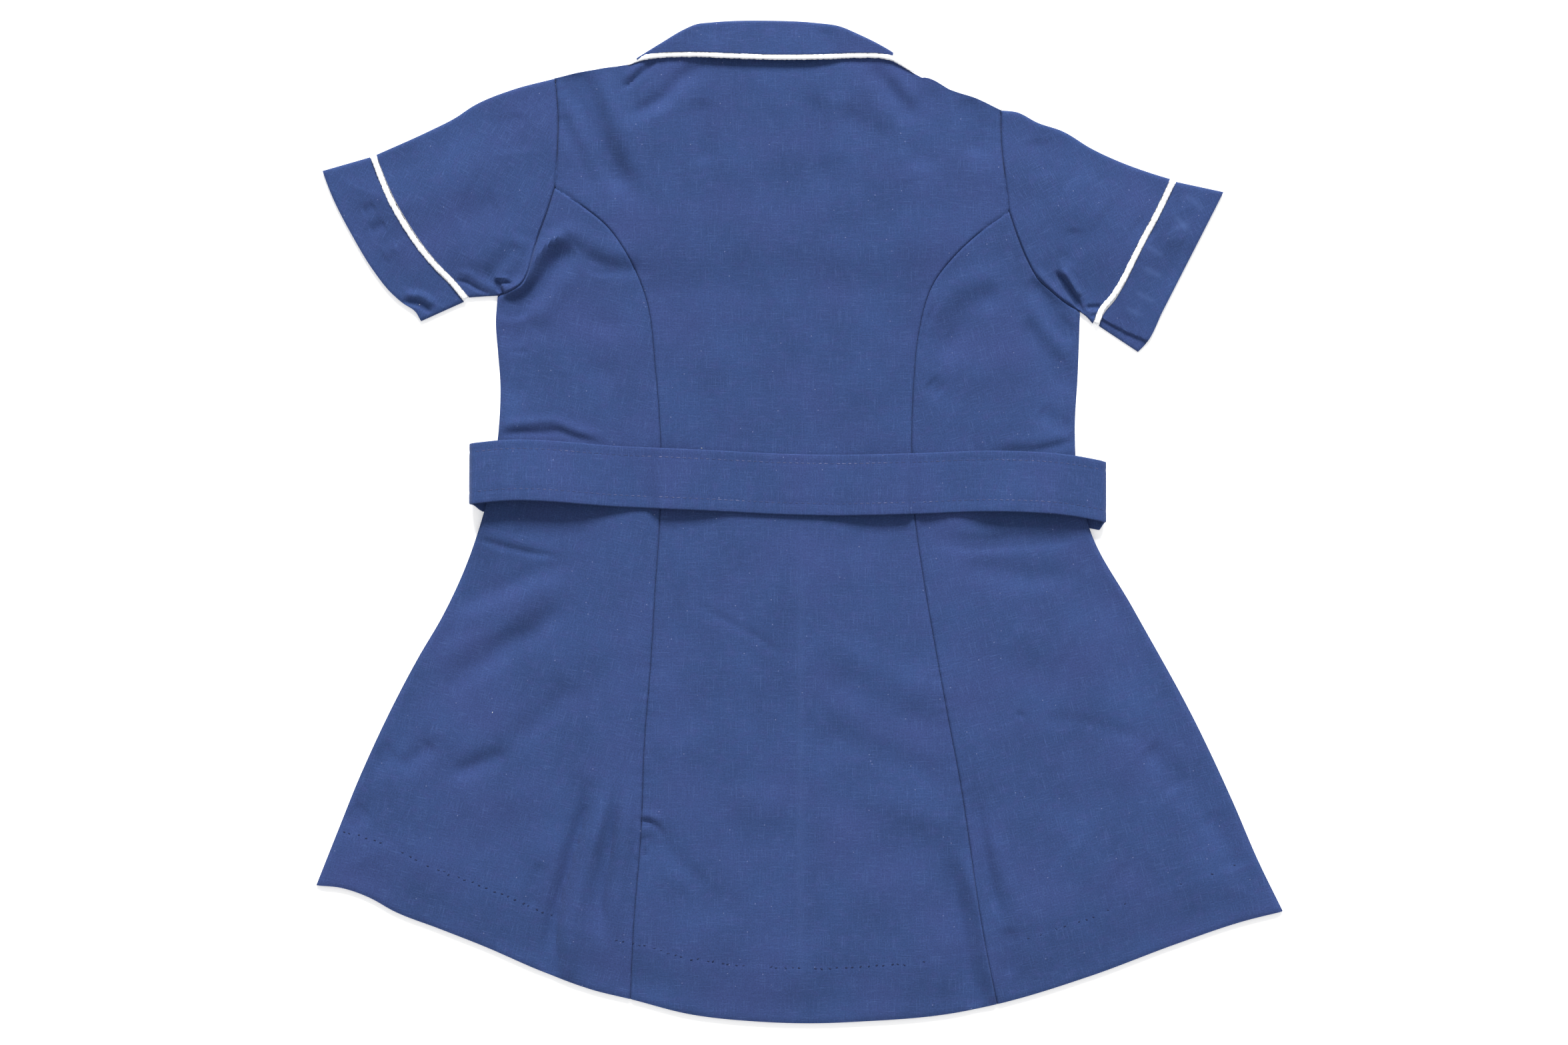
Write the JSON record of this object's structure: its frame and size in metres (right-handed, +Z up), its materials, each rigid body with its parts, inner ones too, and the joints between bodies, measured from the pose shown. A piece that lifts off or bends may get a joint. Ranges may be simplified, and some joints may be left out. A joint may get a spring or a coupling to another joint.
{
  "type": "nurse uniform dress laid flat",
  "caption": "Short-sleeved child's nurse uniform dress laid flat on its front, with a collar, piped collar and cuffs, princess seams, a flared skirt and a belt.",
  "frame": {"origin": "on the ground, under the middle of the garment's outline", "axes": "+Z up from the surface that it lies on, +Y from hem to collar, +X to the right as its back is looked at from above"},
  "size_m": [0.5394, 0.56, 0.0093],
  "materials": {
    "navy_cloth": "plain-woven poly-cotton, matt",
    "navy_belt": "two layers of the dress cloth, topstitched",
    "white_piping": "corded white piping, soft sheen"
  },
  "bodies": {
    "root": {"back_centre": "navy_cloth", "back_side_left": "navy_cloth", "back_side_right": "navy_cloth", "front_left": "navy_cloth", "front_right": "navy_cloth", "sleeve_left": "navy_cloth", "sleeve_right": "navy_cloth", "cuff_left": "navy_cloth", "cuff_right": "navy_cloth", "collar": "navy_cloth", "collar_leaf_left": "navy_cloth", "collar_leaf_right": "navy_cloth", "collar_piping": "white_piping", "collar_piping_left": "white_piping", "collar_piping_right": "white_piping", "cuff_piping_left": "white_piping", "cuff_piping_right": "white_piping", "belt": "navy_belt"}
  },
  "joints": []
}
